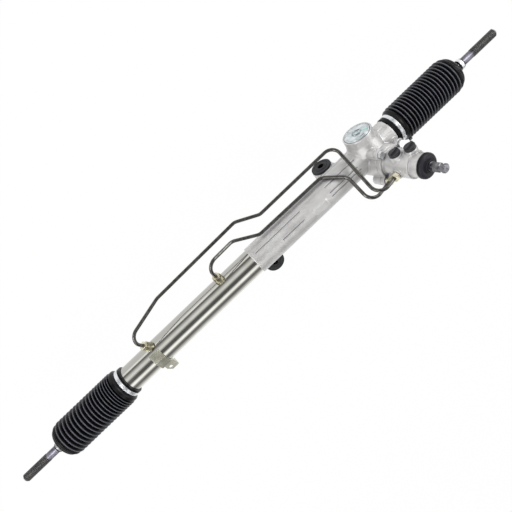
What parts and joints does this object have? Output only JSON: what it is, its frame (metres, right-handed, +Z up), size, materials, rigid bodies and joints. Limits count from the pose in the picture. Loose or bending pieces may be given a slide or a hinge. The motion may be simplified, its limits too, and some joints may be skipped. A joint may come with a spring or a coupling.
{
  "type": "power steering rack",
  "caption": "Hydraulic rack-and-pinion steering gear with bellows boots, tie rod ends, fluid lines and a leaning valve tower.",
  "frame": {"origin": "centre of the bolt hole in the pinion-side mounting bush", "axes": "+X along the rack towards the cylinder end, +Z up the side the valve tower stands on, -Y the way the rack guide and that bush's bolt face"},
  "size_m": [1.178, 0.1407, 0.2237],
  "materials": {
    "cast_aluminium": "satin",
    "bright_steel": "gloss",
    "zinc_steel": "satin",
    "yellow_zinc": "satin",
    "turned_steel": "satin",
    "ground_steel": "gloss",
    "forged_steel": "matte",
    "pipe_steel": "satin",
    "black_plastic": "matte",
    "white_plastic": "matte",
    "boot_rubber": "satin",
    "bush_rubber": "matte",
    "seal_rubber": "matte"
  },
  "bodies": {
    "root": {"centre_bush_rubber": "bush_rubber", "centre_bush_sleeve": "turned_steel", "cylinder_end_stop": "turned_steel", "cylinder_side_boot": "boot_rubber", "cylinder_side_boot_clamp": "bright_steel", "cylinder_tube": "bright_steel", "dust_cover": "boot_rubber", "flange_bolts": "zinc_steel", "flare_nuts": "yellow_zinc", "inner_fluid_line": "pipe_steel", "inner_rod_seal": "seal_rubber", "inner_tube_port": "yellow_zinc", "input_bearing": "turned_steel", "input_seal": "seal_rubber", "input_snap_ring": "turned_steel", "lower_port_plug": "black_plastic", "outer_fluid_line": "pipe_steel", "outer_rod_seal": "seal_rubber", "outer_tube_port": "yellow_zinc", "pinion_ball_bearing": "turned_steel", "pinion_bore_cap": "zinc_steel", "pinion_bush_rubber": "bush_rubber", "pinion_bush_sleeve": "turned_steel", "pinion_needle_bearing": "turned_steel", "pinion_seal": "seal_rubber", "pinion_side_boot": "boot_rubber", "pinion_side_boot_clamp": "bright_steel", "rack_guide": "cast_aluminium", "rack_guide_liner": "white_plastic", "rack_guide_plug": "zinc_steel", "rack_guide_spring": "turned_steel", "rack_housing": "cast_aluminium", "seal_carrier": "turned_steel", "tube_bracket": "yellow_zinc", "upper_port_plug": "black_plastic", "valve_housing": "cast_aluminium"},
    "rack": {"rack_bar": "ground_steel", "piston": "turned_steel", "piston_ring": "white_plastic", "cylinder_side_claw_washer": "turned_steel", "cylinder_side_ball_housing": "turned_steel", "cylinder_side_ball_seat": "white_plastic", "pinion_side_claw_washer": "turned_steel", "pinion_side_ball_housing": "turned_steel", "pinion_side_ball_seat": "white_plastic"},
    "pinion": {"pinion_shaft": "ground_steel", "valve_sleeve": "ground_steel", "valve_seal_rings": "white_plastic", "torsion_bar": "ground_steel"},
    "input": {"input_shaft": "ground_steel", "torsion_pin": "turned_steel"},
    "cylinder_side_tie_rod": {"cylinder_side_tie_rod": "forged_steel", "cylinder_side_boot_clip": "bright_steel"},
    "pinion_side_tie_rod": {"pinion_side_tie_rod": "forged_steel", "pinion_side_boot_clip": "bright_steel"}
  },
  "joints": [
    {"name": "rack_slide", "type": "slide", "parent": "root", "child": "rack", "axis": [1, 0, 0], "range_m": [-0.072, 0.072], "deforming": ["cylinder_side_boot", "pinion_side_boot"]},
    {"name": "pinion_turn", "type": "hinge", "parent": "root", "child": "pinion", "pos_m": [-0.074, 0.01657, 0.045], "axis": [-0.2079, 0, 0.9781], "range_deg": [-561.44, 561.44]},
    {"name": "input_twist", "type": "hinge", "parent": "pinion", "child": "input", "pos_m": [-0.09479, 0.01657, 0.14281], "axis": [-0.2079, 0, 0.9781], "range_deg": [-4, 4], "stiffness_Nm_per_rad": 80},
    {"name": "cylinder_side_tie_rod_swing", "type": "hinge", "parent": "rack", "child": "cylinder_side_tie_rod", "pos_m": [0.64, 0, 0.045], "axis": [0, 1, 0], "range_deg": [-20, 20]},
    {"name": "pinion_side_tie_rod_swing", "type": "hinge", "parent": "rack", "child": "pinion_side_tie_rod", "pos_m": [-0.244, 0, 0.045], "axis": [0, 1, 0], "range_deg": [-20, 20]}
  ],
  "couplings": [
    {"joint": "pinion_turn", "follows": "rack_slide", "rad_per_m": 135.85}
  ]
}
